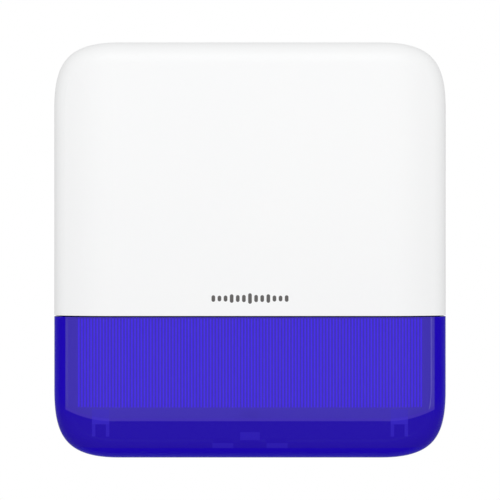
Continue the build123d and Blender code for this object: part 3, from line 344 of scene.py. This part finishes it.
def rest_painted_light(nodes, x, z):
    """Painted light: how much lighter the lens is drawn over the moulded rest posts, boss and tabs behind
    its lower front, as light from them seen through it.
    """
    from_rest = nodes.math("ABSOLUTE", nodes.math("SUBTRACT", nodes.math("ABSOLUTE", x), REST_X))
    whole = nodes.math("SUBTRACT", 1.0, nodes.step(from_rest, REST_HALF, 0.2 * MM))
    legs = nodes.math("MULTIPLY", whole, nodes.step(from_rest, REST_HALF - REST_LEG, 0.2 * MM))
    head = nodes.math("MULTIPLY", whole, nodes.band(z, REST_HEAD_BOTTOM, REST_TOP, 0.2 * MM))
    feet = nodes.math("MULTIPLY", legs, nodes.band(z, REST_BOTTOM, REST_TOP, 0.2 * MM))
    from_tab = nodes.math("ABSOLUTE", nodes.math("SUBTRACT", nodes.math("ABSOLUTE", x), TAB_X))
    tab = nodes.math("SUBTRACT", 1.0, nodes.step(from_tab, TAB_HALF, 0.2 * MM))
    tabs = nodes.math("MULTIPLY", tab, nodes.band(z, SILL_BOTTOM, TAB_TOP, 0.2 * MM))
    centre = nodes.math("SUBTRACT", 1.0, nodes.step(nodes.math("ABSOLUTE", x), BOSS_HALF, 0.3 * MM))
    boss = nodes.math("MULTIPLY", centre, nodes.band(z, BOSS_BOTTOM, BOSS_TOP, 0.2 * MM))
    bright_head = nodes.math("MULTIPLY", head, HEAD_PAINTED_LIGHT)
    upper = nodes.math("MAXIMUM", bright_head, nodes.math("MULTIPLY", feet, LEG_PAINTED_LIGHT))
    lower = nodes.math("MULTIPLY", nodes.math("MAXIMUM", tabs, boss), TAB_PAINTED_LIGHT)
    return nodes.math("MAXIMUM", upper, lower)


def circuit_board():
    """Green solder mask over copper tracks, with a coarse weave showing faintly."""
    nodes = Nodes("circuit_board")
    x, y, z = nodes.axes()
    lines = nodes.math("PINGPONG", nodes.math("ADD", x, z), 1.9 * MM)
    track = nodes.math("LESS_THAN", lines, 0.35 * MM)
    patches = nodes.step(nodes.noise(70.0, detail=1.0), 0.5, 0.02)
    copper = nodes.math("MULTIPLY", track, patches)
    mask = nodes.mix(nodes.noise(900.0), rgb(0.008, 0.13, 0.05), rgb(0.012, 0.17, 0.07))
    nodes.set(Base_Color=nodes.mix(copper, mask, rgb(0.03, 0.30, 0.12)), Roughness=0.32)
    nodes.bump(copper, 0.5, 0.00003)
    return nodes.material


def led_board_white():
    """White solder mask, as on strobe boards."""
    return plastic("led_board_white", (0.82, 0.83, 0.82), 0.35, grain=900.0)


def rubber_black():
    nodes = Nodes("rubber_black")
    dust = nodes.noise(60.0, detail=5.0)
    nodes.set(Base_Color=nodes.mix(dust, rgb(0.018, 0.018, 0.018), rgb(0.045, 0.044, 0.043)), Roughness=0.72)
    nodes.bump(nodes.noise(1200.0), 0.25, 0.00006)
    return nodes.material


def foam_grey():
    """Closed-cell foam strip."""
    nodes = Nodes("foam_grey")
    cell = nodes.cells(1500.0)
    nodes.set(Base_Color=nodes.mix(cell, rgb(0.03, 0.03, 0.032), rgb(0.10, 0.10, 0.105)), Roughness=0.9)
    nodes.bump(cell, 0.5, 0.0002)
    return nodes.material


def cell_sleeve():
    """Shrink sleeve of a lithium cell: blue wrap with a white band and bare steel ends."""
    nodes = Nodes("cell_sleeve")
    x, y, z = nodes.axes()
    low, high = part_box("battery_cell_1")
    wrap = nodes.band(z, low.z + 0.6 * MM, high.z - 1.9 * MM, 0.04 * MM)
    stripe = nodes.band(z, low.z + 6 * MM, low.z + 11 * MM, 0.08 * MM)
    blue = nodes.mix(stripe, rgb(0.03, 0.10, 0.30), rgb(0.78, 0.79, 0.80))
    nodes.set(
        Base_Color=nodes.mix(wrap, rgb(0.62, 0.62, 0.60), blue),
        Metallic=nodes.math("SUBTRACT", 1.0, wrap),
        Roughness=nodes.between(nodes.noise(240.0), 0.24, 0.36),
    )
    nodes.bump(nodes.noise(420.0), 0.10, 0.00005)
    return nodes.material


def led_phosphor():
    """White LED package with a yellow phosphor window."""
    nodes = Nodes("led_phosphor")
    speckle = nodes.noise(2500.0)
    nodes.set(Base_Color=nodes.mix(speckle, rgb(0.80, 0.60, 0.10), rgb(0.92, 0.78, 0.25)), Roughness=0.3)
    nodes.bump(speckle, 0.1, 0.00003)
    return nodes.material


def chip_epoxy():
    nodes = Nodes("chip_epoxy")
    speckle = nodes.noise(3200.0)
    nodes.set(
        Base_Color=nodes.mix(speckle, rgb(0.012, 0.012, 0.013), rgb(0.035, 0.035, 0.037)),
        Roughness=0.55,
    )
    nodes.bump(speckle, 0.2, 0.00002)
    return nodes.material


MATERIALS = {
    "white_housing": housing_white(),
    "blue_lens": lens_blue(),
    "base_plastic": plastic("base_plastic", (0.78, 0.785, 0.78), 0.5),
    "chassis_plastic": plastic("chassis_plastic", (0.84, 0.845, 0.845), 0.46),
    "black_plastic": plastic("black_plastic", (0.022, 0.022, 0.024), 0.46, spread=0.2),
    "horn_plastic": plastic("horn_plastic", (0.03, 0.03, 0.033), 0.42, spread=0.2),
    "rubber": rubber_black(),
    "foam_seal": foam_grey(),
    "circuit_board": circuit_board(),
    "chip_black": chip_epoxy(),
    "tinned_steel": metal("tinned_steel", (0.74, 0.74, 0.71), 0.30),
    "steel": metal("zinc_steel", (0.66, 0.67, 0.68), 0.28),
    "brass": metal("turned_brass", (0.72, 0.50, 0.20), 0.26),
    "cell_sleeve": cell_sleeve(),
    "terminal_green": plastic("terminal_green", (0.03, 0.24, 0.09), 0.4),
    "led_yellow": led_phosphor(),
    "button_white": plastic("button_white", (0.8, 0.8, 0.78), 0.4),
}

for part in frame["record"]["subparts"]:
    for slot in frame["nodes"][part["node"]].material_slots:
        slot.material = MATERIALS[part["material_slot"]]
for slot in frame["nodes"]["led_board"].material_slots:
    slot.material = led_board_white()


# =============================================================== leads and plugs
LEAD_R = 0.62 * MM
LEAD_SIDES = 10

# plugs, in millimetres: Y of the board's face and of the plug's front, and half sizes
PLUG_BOTTOM = -45.6
PLUG_FRONT = -50.4
PLUG_HALF_X = 3.0
PLUG_HALF_Z = 2.4


def smooth(points, steps=8):
    """Points in metres along a smooth curve through the given ones, in millimetres."""
    knots = [Vector(p) * MM for p in points]
    knots = [2 * knots[0] - knots[1]] + knots + [2 * knots[-1] - knots[-2]]
    line = []
    for a, b, c, d in zip(knots, knots[1:], knots[2:], knots[3:]):
        for step in range(steps):
            t = step / steps
            line.append(
                0.5 * (2 * b + (c - a) * t + (2 * a - 5 * b + 4 * c - d) * t ** 2
                       + (3 * b - a - 3 * c + d) * t ** 3)
            )
    line.append(knots[-2])
    return line


def lead(name, points, material):
    """An insulated wire: a round tube along a smooth line."""
    line = smooth(points)
    shape = bmesh.new()
    rings = []
    normal = Vector((0, 0, 1))
    for i, point in enumerate(line):
        along = (line[min(i + 1, len(line) - 1)] - line[max(i - 1, 0)]).normalized()
        normal = (normal - along * normal.dot(along)).normalized()
        side = along.cross(normal)
        ring = []
        for k in range(LEAD_SIDES):
            turn = 2 * math.pi * k / LEAD_SIDES
            ring.append(shape.verts.new(point + LEAD_R * (normal * math.cos(turn) + side * math.sin(turn))))
        rings.append(ring)
    for first, second in zip(rings, rings[1:]):
        for k in range(LEAD_SIDES):
            after = (k + 1) % LEAD_SIDES
            shape.faces.new((first[k], first[after], second[after], second[k]))
    shape.faces.new(rings[0][::-1])
    shape.faces.new(rings[-1])
    piece(name, shape, material)


def block(shape, low, high):
    """Adds a box between two corners, given in millimetres."""
    corners = bmesh.ops.create_cube(shape, size=1.0)["verts"]
    low = Vector(low) * MM
    high = Vector(high) * MM
    for vert in corners:
        vert.co = Vector([(a + b) / 2 + (b - a) * c for a, b, c in zip(low, high, vert.co)])


def piece(name, shape, material):
    """Turns a finished shape into an object that rides on the base."""
    bmesh.ops.recalc_face_normals(shape, faces=shape.faces)
    mesh = bpy.data.meshes.new(name)
    shape.to_mesh(mesh)
    shape.free()
    for face in mesh.polygons:
        face.use_smooth = len(face.vertices) == 4 and name.endswith("lead")
    thing = bpy.data.objects.new(name, mesh)
    bpy.context.scene.collection.objects.link(thing)
    mesh.materials.append(material)
    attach(thing, "base")


def plug(name, x, z, material):
    """Two-way crimp plug in its header: shroud, locking rib and a shoulder on each side."""
    shape = bmesh.new()
    shroud_low = (x - PLUG_HALF_X, PLUG_FRONT + 1.6, z - PLUG_HALF_Z)
    shroud_high = (x + PLUG_HALF_X, PLUG_BOTTOM, z + PLUG_HALF_Z)
    block(shape, shroud_low, shroud_high)
    block(shape, (x - 2.5, PLUG_FRONT, z - 1.7), (x + 2.5, PLUG_FRONT + 2.0, z + 1.7))
    block(shape, (x - 0.6, PLUG_FRONT + 0.4, z + 1.5), (x + 0.6, PLUG_FRONT + 2.2, z + 2.9))
    block(shape, (x - 3.3, PLUG_FRONT + 2.4, z - 1.2), (x - 2.8, PLUG_BOTTOM, z + 0.2))
    block(shape, (x + 2.8, PLUG_FRONT + 2.4, z - 1.2), (x + 3.3, PLUG_BOTTOM, z + 0.2))
    bmesh.ops.bevel(
        shape, geom=shape.edges[:], offset=0.18 * MM, segments=2, affect="EDGES", profile=0.5
    )
    piece(name, shape, material)


nylon = plastic("plug_nylon", (0.80, 0.78, 0.70), 0.42)
red_pvc = plastic("lead_red", (0.52, 0.02, 0.015), 0.38, grain=900.0)
black_pvc = plastic("lead_black", (0.02, 0.02, 0.022), 0.38, grain=900.0, spread=0.2)
white_pvc = plastic("lead_white", (0.72, 0.72, 0.70), 0.38, grain=900.0)

BATTERY_PLUG = (34.4, 3.6)
HORN_PLUG = (51.0, 5.6)
TAMPER_PLUG = (57.9, 5.6)
plug("battery_plug", *BATTERY_PLUG, nylon)
plug("horn_plug", *HORN_PLUG, nylon)
plug("tamper_plug", *TAMPER_PLUG, nylon)

for side, material in ((-1.2, red_pvc), (1.2, black_pvc)):
    colour = "red" if side < 0 else "black"
    lead(f"battery_{colour}_lead", [
        (-25.4, -46.0, 1.0 + side), (-12, -45.4, -1.5 + side), (4, -45.2, -1.8 + side),
        (18, -46.4, 0.6 + side), (26, -49.6, 3.0 + side), (30.5 + side / 2, -52.6, 3.8 + side / 2),
        (33.6 + side, -53.0, 3.7), (34.4 + side, -50.2, 3.6),
    ], material)
for side, material in ((-1.2, red_pvc), (1.2, white_pvc)):
    colour = "red" if side < 0 else "white"
    lead(f"horn_{colour}_lead", [
        (18 + side, -24.0, 27.5), (25 + side, -25.5, 20.5), (35 + side, -30.5, 15.0),
        (43 + side, -38.5, 14.4), (48 + side, -46.5, 14.6), (50.6 + side, -51.6, 12.4),
        (51 + side, -53.0, 8.6), (51 + side, -50.2, 5.6),
    ], material)
for side, material in ((-1.1, black_pvc), (1.1, white_pvc)):
    colour = "black" if side < 0 else "white"
    lead(f"tamper_{colour}_lead", [
        (61.0 + side, -57.2, 21.0), (61.0 + side, -57.3, 17.0), (60.0 + side, -57.4, 12.8),
        (58.6 + side, -57.0, 9.4), (57.9 + side, -54.4, 6.6), (57.9 + side, -50.2, 5.6),
    ], material)


# ================================================================ camera, lights
def camera():
    """Straight at the front, from far enough back that the sides hardly show."""
    data = bpy.data.cameras.new("camera")
    data.lens = 135
    data.sensor_width = 36
    data.clip_start = 0.01
    data.clip_end = 50
    eye = bpy.data.objects.new("camera", data)
    bpy.context.scene.collection.objects.link(eye)
    shown_height = (HIGH.z - LOW.z) / PICTURE_SHARE
    distance = shown_height * data.lens / data.sensor_width
    eye.location = (CENTRE.x, WIDEST_Y - distance, CENTRE.z)
    eye.rotation_euler = (math.pi / 2, 0, 0)
    bpy.context.scene.camera = eye


def softbox(name, place, width, height, power):
    """Rectangular soft light at a place, aimed at the origin."""
    data = bpy.data.lights.new(name, "AREA")
    data.shape = "RECTANGLE"
    data.size = width
    data.size_y = height
    data.energy = power
    lamp = bpy.data.objects.new(name, data)
    lamp.location = place
    lamp.rotation_euler = (-Vector(place)).to_track_quat("-Z", "Y").to_euler()
    bpy.context.scene.collection.objects.link(lamp)


def world():
    """Plain white surround: white to the camera, softer grey as light."""
    surround = bpy.data.worlds.new("surround")
    surround.use_nodes = True
    tree = surround.node_tree
    tree.nodes.clear()
    output = tree.nodes.new("ShaderNodeOutputWorld")
    light = tree.nodes.new("ShaderNodeBackground")
    light.inputs["Color"].default_value = rgb(1, 1, 1)
    light.inputs["Strength"].default_value = WORLD_LIGHT
    seen = tree.nodes.new("ShaderNodeBackground")
    seen.inputs["Color"].default_value = rgb(1, 1, 1)
    seen.inputs["Strength"].default_value = 1.0
    ray = tree.nodes.new("ShaderNodeLightPath")
    mix = tree.nodes.new("ShaderNodeMixShader")
    tree.links.new(ray.outputs["Is Camera Ray"], mix.inputs["Fac"])
    tree.links.new(light.outputs[0], mix.inputs[1])
    tree.links.new(seen.outputs[0], mix.inputs[2])
    tree.links.new(mix.outputs[0], output.inputs["Surface"])
    bpy.context.scene.world = surround


def floor():
    """Plain pale floor some way below the siren, which hangs as on a wall."""
    mesh = bpy.data.meshes.new("floor")
    shape = bmesh.new()
    bmesh.ops.create_circle(shape, cap_ends=True, segments=96, radius=FLOOR_R)
    shape.to_mesh(mesh)
    shape.free()
    ground = bpy.data.objects.new("floor", mesh)
    ground.location = (0, 0, LOW.z - FLOOR_DROP)
    bpy.context.scene.collection.objects.link(ground)
    nodes = Nodes("floor_pale")
    nodes.set(
        Base_Color=nodes.mix(nodes.noise(3.0), rgb(0.80, 0.80, 0.80), rgb(0.84, 0.84, 0.84)),
        Roughness=0.6,
    )
    mesh.materials.append(nodes.material)


camera()
world()
floor()
softbox("key", (0.0, -1.5, 1.3), width=1.6, height=1.0, power=6.0)
softbox("front_fill", (0.0, -2.6, 0.0), width=3.2, height=3.2, power=24.6)
bpy.context.scene.view_settings.view_transform = "Standard"
